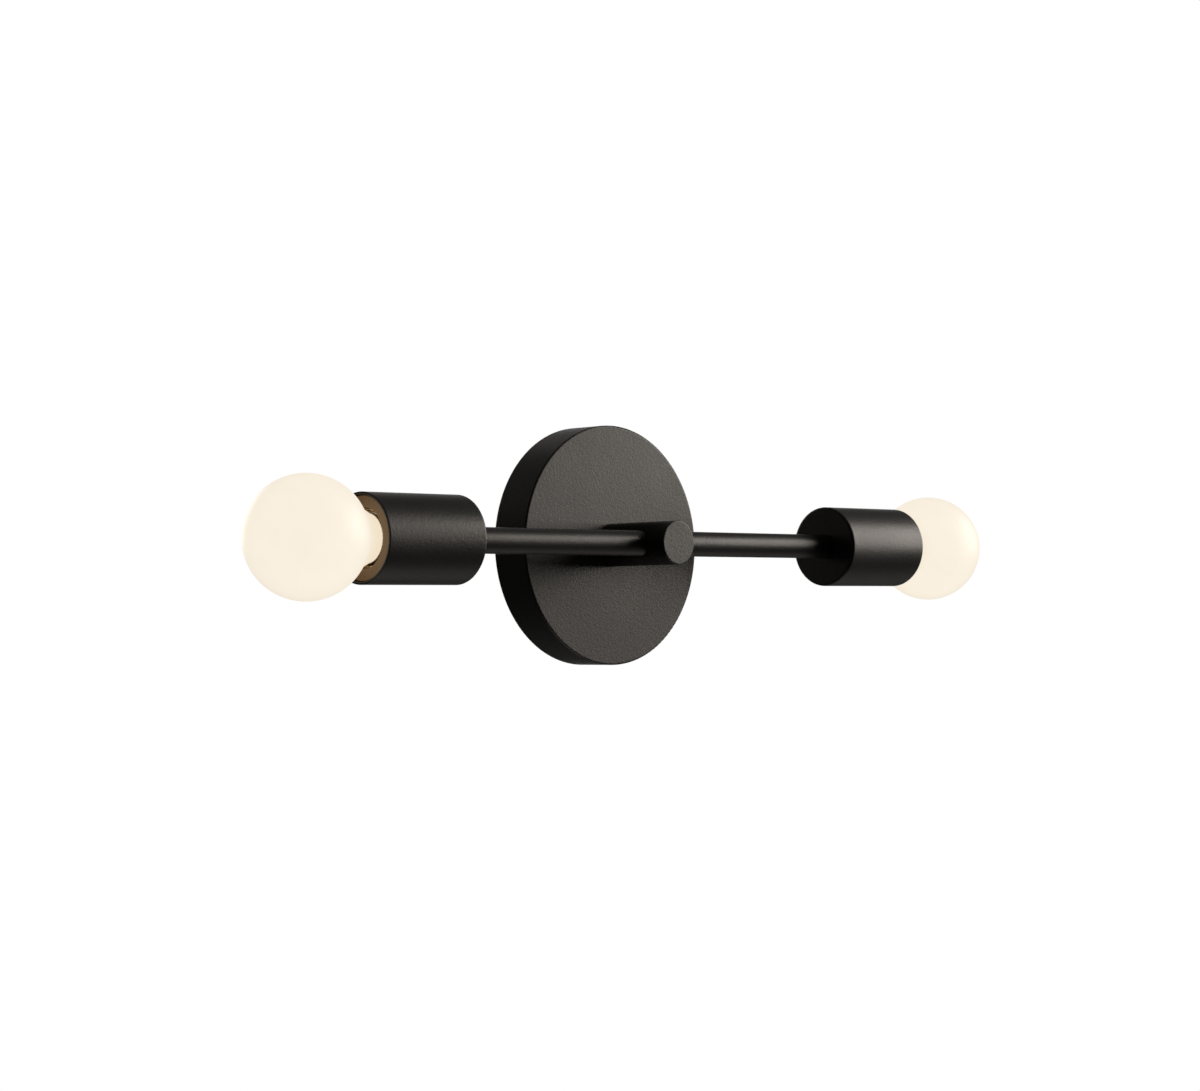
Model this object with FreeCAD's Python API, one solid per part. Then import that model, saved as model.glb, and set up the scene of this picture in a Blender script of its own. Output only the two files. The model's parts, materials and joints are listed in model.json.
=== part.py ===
import FreeCAD, Part
import math
import os

from FreeCAD import Vector

# A two-arm pipe wall light. Millimetres; +Z is up, the wall is the plane y = 0 and the light
# stands out of it towards -Y. The origin is the centre of the canopy's back rim, on the wall.
# Distances along an arm are measured from the stem's axis outwards, the same on both sides.

# ---- what is seen from the front ----
canopy_diameter = 127.0
canopy_depth = 23.0
canopy_sheet = 1.2
canopy_edge_radius = 0.8
stem_diameter = 22.8
stem_edge_radius = 0.4
arm_standoff = 29.9            # canopy face to arm axis
stem_beyond_arm = 18.6         # arm axis to the stem's front face
arm_diameter = 13.2
arm_wall = 2.1
arm_reach = 136.0              # stem axis to the closed end of a cup
cup_diameter = 44.0
cup_length = 61.0
cup_wall = 1.4
cup_edge_radius = 1.0
cup_lip_radius = 0.4
socket_recess = 1.5            # cup mouth to the socket's face

# ---- hollow threaded pipe that joins canopy, stem, arms and cups ----
pipe_diameter = 10.0
pipe_bore = 7.0
pipe_grip = 8.0                # length of thread held in an arm or in the stem
pipe_end = 1.0                 # thread that shows past a nut
nut_across_flats = 14.0
nut_height = 3.0
thread_gap = 0.05              # radial, between a plain-drawn screw thread and its hole
pass_gap = 0.15                # radial, around a screw or pipe in a clearance hole
seat_bite = 0.3                # depth of the flat seat under the stem's side, past the arm's edge
stem_bore = 9.0
lock_washer_diameter = 16.0
lock_washer_height = 1.0
lock_washer_teeth = 12
ring_tongue_sheet = 0.8
ring_tongue_diameter = 16.0

# ---- crossbar on the wall ----
bracket_width = 20.0
bracket_sheet = 2.0
bracket_bend_radius = 1.0      # inside radius
bracket_hole = 10.5
ear_width = 12.0
ear_gap = 0.3                  # ear to the canopy's inner wall
ear_past_screw = 5.0
ear_shoulder = 9.0             # length over which the bar has the ears' width
ear_collar_height = 2.0
ear_collar_wall = 1.2
box_slot_spacing = 79.375      # between the middles of the two slots
box_slot_length = 14.325
box_slot_width = 4.8
ground_screw_place = 20.0
ground_screw_diameter = 4.0
ground_head_diameter = 8.0
ground_head_height = 2.4

# ---- screws in the canopy's rim ----
side_screw_diameter = 5.0
side_screw_length = 8.0
side_head_diameter = 11.8
side_head_height = 2.8
side_screw_depth = 8.75        # wall to the screw's axis
notch_gap = 0.2
head_edge_share = 0.2          # of a screw head's height, below its dome
slot_width = 1.2
slot_depth = 1.2

# ---- screw thread of cap and socket shell ----
thread_pitch = 3.629
thread_turns = 4.0
thread_height = 1.0            # crest of the rolled ridge above the tube
thread_shoulder = 0.25         # height at which the crest's round begins
thread_shoulder_half = 0.83    # half the ridge's width there
thread_foot_half = 0.92        # and inside the tube's wall
cap_core_radius = 12.13
cap_sheet = 0.38
thread_clearance = 0.17        # radial, between crest and wall
shell_sheet = 0.5

# ---- bulb ----
bulb_seat_depth = 23.5         # socket face to the bulb's tip
globe_radius = 29.75
globe_from_tip = 57.0          # bulb's tip to the globe's centre
globe_glass = 1.0
neck_radius = 14.0
neck_blend = 2.5
neck_shoulder_radius = 1.2
neck_shoulder_from_face = 2.1  # how deep the wide neck goes into the socket
tip_radius = 4.6
tip_height = 1.2
insulator_height = 3.1
insulator_in_cap = 1.7
cap_end_from_face = 2.4
glass_in_cap = 6.2
cement_gap = 0.25
turning_gap = 0.02
filament_radius = 0.8
filament_circle = 9.0
filament_count = 4
filament_length = 28.0
filament_wire = 0.6
mount_rod_radius = 2.0
mount_flare_height = 12.0
mount_foot_height = 1.5
mount_shoulder_radius = 4.0
mount_shoulder_height = 2.0
driver_board = 1.6
driver_from_insulator = 3.0
driver_capacitor_radius = 3.9
driver_bridge_width = 7.8
driver_bridge_height = 1.5

# ---- socket ----
socket_length = 35.5
socket_body_radius = 18.0
socket_flange_length = 10.5
socket_gap = 0.3               # radial, flange to cup
entry_gap = 0.9                # radial, neck to the socket's mouth
entry_depth = 3.0
entry_edge_radius = 0.4
shell_gap = 0.2                # radial, shell to socket bore
shell_below_entry = 0.5
ledge_above_tip = 1.6
well_below_tip = 3.0
well_radius = 9.5
strap_width = 12.0
strap_sheet = 1.0
strap_leg_place = 10.5
strap_foot_length = 6.0
strap_screw_place = 14.5
strap_screw_radius = 1.5
strap_screw_depth = 8.0
strap_head_radius = 2.6
strap_head_height = 2.0
clamp_length = 5.5
clamp_half_width = 3.0
clamp_wall = 1.4
clamp_hole_gap = 0.2
clamp_floor = 0.5              # brass left under a lead's end
clamp_screw_radius = 1.25
clamp_screw_proud = 0.5
clamp_slot_width = 0.6
lead_at_clamp = 5.6            # height of a lead's end above or below the arm axis
contact_pin_radius = 1.5
shell_pin_radius = 1.3
shell_pin_place = 11.3
leaf_sheet = 0.4
leaf_half_width = 2.5
leaf_gap = 0.05

# ---- leads and what joins them ----
lead_radius = 0.9
lead_side = 1.2                # a lead's place beside the stem's axis
lead_height = 1.1              # and above or below it
lead_arc_share = 0.45          # of the shorter run beside a bend, which the bend's arc takes
connector_length = 22.0
connector_mouth_radius = 5.6
connector_tip_radius = 3.8
connector_bore_gap = 0.3
connector_bore_depth = 9.0
connector_grip = 4.0           # how far the leads go in
connector_ribs = 12
connector_rib_depth = 0.5
connector_rib_start = 3.6
connector_tip_round = 1.2
barrel_radius = 1.6
barrel_length = 6.5
barrel_rise = 1.4
ring_tongue_width = 4.0
ring_angle = 30.0              # degrees above +X

# ---- places worked out from the sizes above ----
canopy_radius = canopy_diameter / 2
canopy_inner_radius = canopy_radius - canopy_sheet
stem_radius = stem_diameter / 2
arm_radius = arm_diameter / 2
arm_bore_radius = arm_radius - arm_wall
cup_radius = cup_diameter / 2
cup_inner_radius = cup_radius - cup_wall
pipe_radius = pipe_diameter / 2
pipe_bore_radius = pipe_bore / 2
tapped_radius = pipe_radius + thread_gap
pipe_hole_radius = pipe_radius + pass_gap

canopy_face = -canopy_depth
canopy_inside = canopy_face + canopy_sheet
arm_y = canopy_face - arm_standoff
stem_front = arm_y - stem_beyond_arm
arm_seat = math.sqrt(stem_radius ** 2 - (arm_radius + thread_gap) ** 2) - seat_bite
ring_back = canopy_inside + lock_washer_height
nut_back = ring_back + ring_tongue_sheet
stem_pipe_back = nut_back + nut_height + pipe_end

cup_floor = arm_reach + cup_wall
cup_mouth = arm_reach + cup_length
strap_top = cup_floor + strap_sheet
cup_pipe_end = strap_top + nut_height + pipe_end
socket_face = cup_mouth - socket_recess
socket_back = socket_face - socket_length
clamp_start = socket_back - clamp_length
tip_place = socket_face - bulb_seat_depth
well_floor = tip_place - well_below_tip
ledge = tip_place + ledge_above_tip
shell_end = socket_face - entry_depth - shell_below_entry

cap_crest = cap_core_radius + thread_height
shell_inner_radius = cap_crest + thread_clearance
shell_outer_radius = shell_inner_radius + shell_sheet
socket_bore_radius = shell_outer_radius + shell_gap
shell_ridge_start = ledge + shell_sheet + thread_pitch / 2
cap_ridge_start = shell_ridge_start + thread_pitch / 2
insulator_start = tip_place + tip_height + turning_gap
cap_start = insulator_start + insulator_height
cap_end = socket_face - cap_end_from_face
globe_place = tip_place + globe_from_tip
neck_shoulder = socket_face - neck_shoulder_from_face

SMALL = 1e-6


# ---- helpers ----
def corner_arc(before, corner, after, radius):
    """Start, middle and end of the tangent arc that rounds a corner."""
    way_in = (corner - before).normalize()
    way_out = (after - corner).normalize()
    half_turn = way_in.getAngle(way_out) / 2
    reach = radius * math.tan(half_turn)
    inward = (way_out - way_in).normalize()
    middle = corner + inward * (radius / math.cos(half_turn) - radius)
    return corner - way_in * reach, middle, corner + way_out * reach


def rounded_wire(points, radii, closed):
    """Straight runs joined by tangent arcs. A radius of 0 leaves its corner sharp."""
    count = len(points)
    stops = []
    for i, point in enumerate(points):
        is_end = not closed and i in (0, count - 1)
        if is_end or radii[i] == 0:
            stops.append((point, None, point))
        else:
            stops.append(corner_arc(points[i - 1], point, points[(i + 1) % count], radii[i]))
    edges = []
    for i, (start, middle, end) in enumerate(stops):
        if middle is not None:
            edges.append(Part.Arc(start, middle, end).toShape())
        if closed or i < count - 1:
            following = stops[(i + 1) % count][0]
            if end.distanceToPoint(following) > SMALL:
                edges.append(Part.LineSegment(end, following).toShape())
    return Part.Wire(edges)


def arm_point(along, radius):
    return Vector(along, arm_y, radius)


def stem_point(along, radius):
    return Vector(radius, along, 0)


def positive(solid):
    """The solid with its faces outwards."""
    if solid.Volume < 0:
        solid.reverse()
    return solid


def turned(corners, point, centre, axis):
    """A solid turned from corners (along, radius) or (along, radius, corner radius)."""
    points = [point(corner[0], corner[1]) for corner in corners]
    radii = [corner[2] if len(corner) > 2 else 0 for corner in corners]
    face = Part.Face(rounded_wire(points, radii, True))
    return positive(face.revolve(centre, axis, 360))


def turned_on_arm(corners):
    return turned(corners, arm_point, Vector(0, arm_y, 0), Vector(1, 0, 0))


def turned_on_stem(corners):
    return turned(corners, stem_point, Vector(0, 0, 0), Vector(0, 1, 0))


def rod(start, axis, radius, length):
    return Part.makeCylinder(radius, length, start, axis)


def arm_rod(start, end, radius, side=0.0, height=0.0):
    """A round bar along the arm's direction, from start to end."""
    return rod(Vector(start, arm_y + side, height), Vector(1, 0, 0), radius, end - start)


def stem_rod(back, front, radius, x=0.0, z=0.0):
    """A round bar along the stem's direction, from its back end to its front end."""
    return rod(Vector(x, back, z), Vector(0, -1, 0), radius, back - front)


def block(x0, x1, y0, y1, z0, z1):
    return Part.makeBox(x1 - x0, y1 - y0, z1 - z0, Vector(x0, y0, z0))


def hexagon(across_flats, height, centre, axis):
    """A hexagonal prism with its flats turned up and down."""
    corner_radius = across_flats / math.sqrt(3)
    blank = rod(Vector(0, 0, 0), Vector(0, 0, 1), corner_radius, height)
    for step in range(6):
        trim = block(across_flats / 2, corner_radius + 1, -corner_radius, corner_radius, -1, height + 1)
        trim.rotate(Vector(0, 0, 0), Vector(0, 0, 1), 60 * step)
        blank = blank.cut(trim)
    blank.Placement = FreeCAD.Placement(centre, FreeCAD.Rotation(Vector(0, 0, 1), axis))
    return blank


def thread_ridge(start, wall_radius, outward):
    """The rolled ridge of a right-hand thread around the arm axis, its foot let into the tube's wall."""
    let_in = min(cap_sheet, shell_sheet) / 2
    facing = 1 if outward else -1

    def at(height, along):
        return Vector(wall_radius + facing * height, 0, along)

    helix = Part.makeHelix(thread_pitch, thread_pitch * thread_turns, wall_radius)
    low_shoulder = at(thread_shoulder, -thread_shoulder_half)
    high_shoulder = at(thread_shoulder, thread_shoulder_half)
    low_foot = at(-let_in, -thread_foot_half)
    high_foot = at(-let_in, thread_foot_half)
    profile = Part.Wire([
        Part.LineSegment(low_foot, low_shoulder).toShape(),
        Part.Arc(low_shoulder, at(thread_height, 0), high_shoulder).toShape(),
        Part.LineSegment(high_shoulder, high_foot).toShape(),
        Part.LineSegment(high_foot, low_foot).toShape(),
    ])
    ridge = positive(Part.Wire(helix.Edges).makePipeShell([profile], True, True))
    ridge.rotate(Vector(0, 0, 0), Vector(0, 1, 0), 90)
    ridge.translate(Vector(start, arm_y, 0))
    return ridge


def domed_head(height, radius):
    """A truss head whose flat side lies on z = 0: a low cylinder under a cap of a sphere."""
    edge = height * head_edge_share
    rise = height - edge
    dome_radius = (radius ** 2 + rise ** 2) / (2 * rise)
    half_angle = math.asin(radius / dome_radius) / 2
    middle = Vector(dome_radius * math.sin(half_angle), 0,
                    height - dome_radius * (1 - math.cos(half_angle)))
    rim = Vector(radius, 0, edge)
    top = Vector(0, 0, height)
    profile = Part.Wire([
        Part.LineSegment(Vector(0, 0, 0), Vector(radius, 0, 0)).toShape(),
        Part.LineSegment(Vector(radius, 0, 0), rim).toShape(),
        Part.Arc(rim, middle, top).toShape(),
        Part.LineSegment(top, Vector(0, 0, 0)).toShape(),
    ])
    return positive(Part.Face(profile).revolve(Vector(0, 0, 0), Vector(0, 0, 1), 360))


def slotted_screw(head_radius, head_height, shank_radius, shank_length):
    """A slotted screw with its head above z = 0 and its shank below."""
    screw = domed_head(head_height, head_radius)
    screw = screw.fuse(rod(Vector(0, 0, 0), Vector(0, 0, -1), shank_radius, shank_length))
    half = slot_width / 2
    slot = block(-half, half, -head_radius, head_radius, head_height - slot_depth, head_height)
    return screw.cut(slot)


def place(shape, origin, axis):
    """Stands a shape that was made along +Z at a point, along another axis."""
    shape.Placement = FreeCAD.Placement(origin, FreeCAD.Rotation(Vector(0, 0, 1), axis))
    return shape


def lead(points):
    """An insulated lead along straight runs with tangent arcs as large as the runs allow."""
    radii = [0.0]
    for i in range(1, len(points) - 1):
        run_in = points[i] - points[i - 1]
        run_out = points[i + 1] - points[i]
        half_turn = run_in.getAngle(run_out) / 2
        radii.append(lead_arc_share * min(run_in.Length, run_out.Length) / math.tan(half_turn))
    radii.append(0.0)
    path = rounded_wire(points, radii, False)
    first_run = points[1] - points[0]
    ring = Part.Wire(Part.Circle(points[0], first_run, lead_radius).toShape())
    tube = positive(path.makePipeShell([ring], True, False))
    expected = math.pi * lead_radius ** 2 * path.Length
    print("lead length %.1f, least radius %.1f, volume ratio %.4f"
          % (path.Length, min(radii[1:-1]), tube.Volume / expected))
    return tube


def save(name, *solids):
    """Writes a sub-part, and says whether it is sound."""
    shape = solids[0] if len(solids) == 1 else Part.makeCompound(list(solids))
    count = len(shape.Solids)
    sound = shape.isValid() and count == len(solids)
    print("%-26s solids %d volume %10.2f %s" % (name, count, shape.Volume, "" if sound else "NOT SOUND"))
    shape.exportStep("parts/" + name + ".step")


def whole(shape):
    """The single solid of a cut or fused shape, with split faces joined."""
    return shape.removeSplitter().Solids[0]


def on_left(shape):
    """The same piece on the left arm: turned half round the stem, which keeps a thread right-handed."""
    other = shape.copy()
    other.rotate(Vector(0, arm_y, 0), Vector(0, 0, 1), 180)
    return other


def mirrored(shape):
    return shape.mirror(Vector(0, 0, 0), Vector(1, 0, 0))


# ---- wall crossbar and its screws ----
def ear_outside():
    half = ear_width / 2
    return math.sqrt(canopy_inner_radius ** 2 - half ** 2) - ear_gap


def wall_bracket():
    outside = ear_outside()
    inside = outside - bracket_sheet
    ear_end = -(side_screw_depth + ear_past_screw)
    bend = bracket_bend_radius
    outer_bend = bend + bracket_sheet
    half = bracket_width / 2
    corners = [
        (-outside, ear_end, 0), (-outside, 0, outer_bend), (outside, 0, outer_bend), (outside, ear_end, 0),
        (inside, ear_end, 0), (inside, -bracket_sheet, bend), (-inside, -bracket_sheet, bend),
        (-inside, ear_end, 0),
    ]
    points = [Vector(x, y, -half) for x, y, radius in corners]
    profile = rounded_wire(points, [radius for x, y, radius in corners], True)
    bar = positive(Part.Face(profile).extrude(Vector(0, 0, bracket_width)))
    for side in (-1, 1):
        for up in (-1, 1):
            end = sorted((side * (outside - ear_shoulder), side * (outside + 1)))
            edge = sorted((up * ear_width / 2, up * (half + 1)))
            bar = bar.cut(block(end[0], end[1], ear_end - 1, 1, edge[0], edge[1]))
        collar_radius = side_screw_diameter / 2 + ear_collar_wall
        ear = Vector(side * inside, -side_screw_depth, 0)
        bar = bar.fuse(rod(ear, Vector(-side, 0, 0), collar_radius, ear_collar_height))
        tapped = side_screw_diameter / 2 + thread_gap
        bar = bar.cut(rod(Vector(side * (outside + 1), ear.y, 0), Vector(-side, 0, 0), tapped, ear_shoulder))
        bar = bar.cut(box_slot(side))
    bar = bar.cut(stem_rod(1, -bracket_sheet - 1, bracket_hole / 2))
    bar = bar.cut(stem_rod(1, -bracket_sheet - 1, ground_screw_diameter / 2 + thread_gap, ground_screw_place))
    return whole(bar)


def box_slot(side):
    middle = side * box_slot_spacing / 2
    radius = box_slot_width / 2
    reach = box_slot_length / 2 - radius
    low = -bracket_sheet - 1
    slot = block(middle - reach, middle + reach, low, 1, -radius, radius)
    slot = slot.fuse(stem_rod(1, low, radius, middle - reach))
    return slot.fuse(stem_rod(1, low, radius, middle + reach))


def ground_screw():
    screw = slotted_screw(ground_head_diameter / 2, ground_head_height,
                          ground_screw_diameter / 2, bracket_sheet)
    return place(whole(screw), Vector(ground_screw_place, -bracket_sheet, 0), Vector(0, -1, 0))


def side_screw():
    screw = slotted_screw(side_head_diameter / 2, side_head_height,
                          side_screw_diameter / 2, side_screw_length)
    return place(whole(screw), Vector(canopy_radius, -side_screw_depth, 0), Vector(1, 0, 0))


# ---- canopy, stem and what clamps them ----
def canopy():
    cover = turned_on_stem([
        (0, canopy_radius), (canopy_face, canopy_radius, canopy_edge_radius), (canopy_face, pipe_hole_radius),
        (canopy_inside, pipe_hole_radius), (canopy_inside, canopy_inner_radius), (0, canopy_inner_radius),
    ])
    notch_radius = side_screw_diameter / 2 + notch_gap
    for side in (-1, 1):
        ends = sorted((side * (canopy_inner_radius - 2), side * (canopy_radius + 2)))
        notch = block(ends[0], ends[1], -side_screw_depth, 1, -notch_radius, notch_radius)
        end = rod(Vector(ends[0], -side_screw_depth, 0), Vector(1, 0, 0), notch_radius, ends[1] - ends[0])
        cover = cover.cut(notch.fuse(end))
    return whole(cover)


def stem():
    bar = turned_on_stem([
        (canopy_face, 0), (canopy_face, stem_radius),
        (stem_front, stem_radius, stem_edge_radius), (stem_front, 0),
    ])
    bar = bar.cut(stem_rod(canopy_face, arm_y - stem_bore / 2, stem_bore / 2))
    bar = bar.cut(stem_rod(canopy_face, canopy_face - pipe_grip - pipe_end, tapped_radius))
    bar = bar.cut(arm_rod(-stem_radius, stem_radius, tapped_radius))
    seat_radius = arm_radius + thread_gap
    bar = bar.cut(arm_rod(arm_seat, stem_radius + 1, seat_radius))
    bar = bar.cut(arm_rod(-stem_radius - 1, -arm_seat, seat_radius))
    return whole(bar)


def stem_pipe():
    front = canopy_face - pipe_grip
    return whole(stem_rod(stem_pipe_back, front, pipe_radius).cut(
        stem_rod(stem_pipe_back, front, pipe_bore_radius)))


def stem_lock_washer():
    washer = stem_rod(ring_back, canopy_inside, lock_washer_diameter / 2)
    washer = washer.cut(stem_rod(ring_back, canopy_inside, pipe_hole_radius))
    tooth_gap = lock_washer_diameter / lock_washer_teeth / 2
    for step in range(lock_washer_teeth):
        gap = block(lock_washer_diameter / 2 - tooth_gap, lock_washer_diameter, canopy_inside, ring_back,
                    -tooth_gap / 2, tooth_gap / 2)
        gap.rotate(Vector(0, 0, 0), Vector(0, 1, 0), 360 / lock_washer_teeth * step)
        washer = washer.cut(gap)
    return whole(washer)


def stem_nut():
    nut = hexagon(nut_across_flats, nut_height, Vector(0, nut_back, 0), Vector(0, 1, 0))
    return whole(nut.cut(stem_rod(nut_back + nut_height, nut_back, tapped_radius)))


# ---- one arm, made on the right ----
def arm():
    tube = arm_rod(arm_seat, arm_reach, arm_radius)
    tube = tube.cut(arm_rod(arm_seat, arm_reach, arm_bore_radius))
    tube = tube.cut(arm_rod(arm_seat, arm_seat + pipe_grip + pipe_end, tapped_radius))
    tube = tube.cut(arm_rod(arm_reach - pipe_grip - pipe_end, arm_reach, tapped_radius))
    return whole(tube)


def pipe_on_arm(start, end):
    return whole(arm_rod(start, end, pipe_radius).cut(arm_rod(start, end, pipe_bore_radius)))


def arm_pipe():
    return pipe_on_arm(stem_bore / 2 + seat_bite, arm_seat + pipe_grip)


def cup_pipe():
    return pipe_on_arm(arm_reach - pipe_grip, cup_pipe_end)


def cup():
    return turned_on_arm([
        (arm_reach, pipe_hole_radius), (arm_reach, cup_radius, cup_edge_radius),
        (cup_mouth, cup_radius, cup_lip_radius), (cup_mouth, cup_inner_radius, cup_lip_radius),
        (cup_floor, cup_inner_radius), (cup_floor, pipe_hole_radius),
    ])


def cup_nut():
    nut = hexagon(nut_across_flats, nut_height, arm_point(strap_top, 0), Vector(1, 0, 0))
    return whole(nut.cut(arm_rod(strap_top, strap_top + nut_height, tapped_radius)))


def socket_strap():
    """A hat-shaped strap: its middle is held under the cup nut and its feet carry the socket."""
    half = strap_width / 2
    leg = strap_leg_place
    foot = leg + strap_sheet + strap_foot_length
    foot_top = socket_back - strap_sheet
    corners = [
        (cup_floor, -leg - strap_sheet), (foot_top, -leg - strap_sheet), (foot_top, -foot),
        (socket_back, -foot), (socket_back, -leg), (strap_top, -leg), (strap_top, leg),
        (socket_back, leg), (socket_back, foot), (foot_top, foot), (foot_top, leg + strap_sheet),
        (cup_floor, leg + strap_sheet),
    ]
    points = [Vector(x, arm_y + y, -half) for x, y in corners]
    outline = Part.Face(rounded_wire(points, [0] * len(points), True))
    strap = positive(outline.extrude(Vector(0, 0, strap_width)))
    strap = strap.cut(arm_rod(cup_floor, strap_top, pipe_hole_radius))
    for side in (-1, 1):
        hole = arm_rod(foot_top, socket_back, strap_screw_radius + thread_gap, side * strap_screw_place)
        strap = strap.cut(hole)
    return whole(strap)


def strap_screws():
    screws = []
    for side in (-1, 1):
        screw = slotted_screw(strap_head_radius, strap_head_height, strap_screw_radius, strap_screw_depth)
        seat = Vector(socket_back - strap_sheet, arm_y + side * strap_screw_place, 0)
        screws.append(place(whole(screw), seat, Vector(-1, 0, 0)))
    return screws


def socket_body():
    flange_radius = cup_inner_radius - socket_gap
    entry_radius = neck_radius + entry_gap
    body = turned_on_arm([
        (socket_back, 0), (socket_back, socket_body_radius),
        (socket_face - socket_flange_length, socket_body_radius),
        (socket_face - socket_flange_length, flange_radius),
        (socket_face, flange_radius, entry_edge_radius), (socket_face, entry_radius, entry_edge_radius),
        (socket_face - entry_depth, entry_radius), (socket_face - entry_depth, socket_bore_radius),
        (ledge, socket_bore_radius), (ledge, well_radius), (well_floor, well_radius), (well_floor, 0),
    ])
    body = body.cut(arm_rod(socket_back, well_floor, contact_pin_radius + thread_gap, 0, lead_at_clamp))
    body = body.cut(arm_rod(socket_back, ledge, shell_pin_radius + thread_gap, 0, -shell_pin_place))
    for side in (-1, 1):
        depth = socket_back - strap_sheet + strap_screw_depth
        hole = arm_rod(socket_back, depth, strap_screw_radius + thread_gap, side * strap_screw_place)
        body = body.cut(hole)
    return whole(body)


def clamp_block(low, high, up):
    """A brass clamp behind the socket, with a hole for a lead and a tapped hole for its screw."""
    body = block(clamp_start, socket_back, arm_y - clamp_half_width, arm_y + clamp_half_width, low, high)
    hole_radius = lead_radius + clamp_hole_gap
    body = body.cut(arm_rod(clamp_start, socket_back - clamp_floor, hole_radius, 0, up * lead_at_clamp))
    middle = (clamp_start + socket_back) / 2
    tapped = rod(Vector(middle, arm_y, up * lead_at_clamp), Vector(0, 0, up),
                 clamp_screw_radius + thread_gap, shell_pin_place)
    return body.cut(tapped)


def upper_clamp_ends():
    return lead_at_clamp - lead_radius - clamp_wall, lead_at_clamp + lead_radius + clamp_wall


def lower_clamp_ends():
    return -(shell_pin_place + shell_pin_radius + thread_gap), -upper_clamp_ends()[0]


def centre_contact():
    """Clamp, rivet and spring leaf of the live side; the leaf's tongue bears on the bulb's tip."""
    low, high = upper_clamp_ends()
    piece = clamp_block(low, high, 1)
    piece = piece.fuse(arm_rod(socket_back, well_floor, contact_pin_radius, 0, lead_at_clamp))
    top = lead_at_clamp + contact_pin_radius
    rise = tip_place - leaf_gap - well_floor
    outline = [
        (0, top), (0, -tip_radius), (leaf_sheet, -tip_radius - leaf_sheet), (rise - leaf_sheet, 0),
        (rise, leaf_sheet), (rise, tip_radius / 2), (rise - leaf_sheet, tip_radius / 2),
        (rise - leaf_sheet, leaf_sheet), (leaf_sheet, -tip_radius + leaf_sheet), (leaf_sheet, top),
    ]
    points = [Vector(well_floor + x, arm_y - leaf_half_width, z) for x, z in outline]
    leaf = Part.Face(rounded_wire(points, [0] * len(points), True)).extrude(Vector(0, 2 * leaf_half_width, 0))
    return whole(piece.fuse(positive(leaf)))


def screw_shell():
    """Threaded shell of the neutral side, with its seat, rivet and clamp."""
    low, high = lower_clamp_ends()
    tube = arm_rod(ledge, shell_end, shell_outer_radius).cut(arm_rod(ledge, shell_end, shell_inner_radius))
    tube = tube.fuse(thread_ridge(shell_ridge_start, shell_inner_radius, False))
    seat = arm_rod(ledge, ledge + shell_sheet, shell_outer_radius)
    tube = tube.fuse(seat.cut(arm_rod(ledge, ledge + shell_sheet, well_radius)))
    tube = tube.fuse(arm_rod(socket_back, ledge, shell_pin_radius, 0, -shell_pin_place))
    return whole(tube.fuse(clamp_block(low, high, -1)))


def clamp_screws():
    middle = (clamp_start + socket_back) / 2
    bearing = lead_at_clamp + lead_radius + leaf_gap
    screws = []
    for up, end in ((1, upper_clamp_ends()[1]), (-1, -lower_clamp_ends()[0])):
        length = end + clamp_screw_proud - bearing
        screw = rod(Vector(middle, arm_y, up * bearing), Vector(0, 0, up), clamp_screw_radius, length)
        edges = sorted((up * end, up * (end + 2 * clamp_screw_proud)))
        slot = block(middle - clamp_slot_width / 2, middle + clamp_slot_width / 2,
                     arm_y - clamp_half_width, arm_y + clamp_half_width, edges[0], edges[1])
        screws.append(whole(screw.cut(slot)))
    return screws


# ---- one bulb, made on the right ----
def bulb_tip():
    return turned_on_arm([
        (tip_place, 0), (tip_place, tip_radius, tip_height / 2), (tip_place + tip_height, tip_radius),
        (tip_place + tip_height, 0),
    ])


def bulb_insulator():
    inside = cap_core_radius - cap_sheet - thread_gap
    return turned_on_arm([
        (insulator_start, 0), (insulator_start, tip_radius + leaf_sheet), (cap_start, inside - leaf_sheet),
        (cap_start, inside), (cap_start + insulator_in_cap, inside), (cap_start + insulator_in_cap, 0),
    ])


def bulb_cap():
    tube = arm_rod(cap_start, cap_end, cap_core_radius)
    tube = tube.cut(arm_rod(cap_start, cap_end, cap_core_radius - cap_sheet))
    return whole(tube.fuse(thread_ridge(cap_ridge_start, cap_core_radius, True)))


def sphere_arc(radius, start_angle, end_angle):
    """An arc round the globe's centre, with angles measured from the outer end of the arm axis."""
    points = []
    for angle in (start_angle, (start_angle + end_angle) / 2, end_angle):
        points.append(arm_point(globe_place + radius * math.cos(angle), radius * math.sin(angle)))
    return Part.Arc(*points).toShape()


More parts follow.
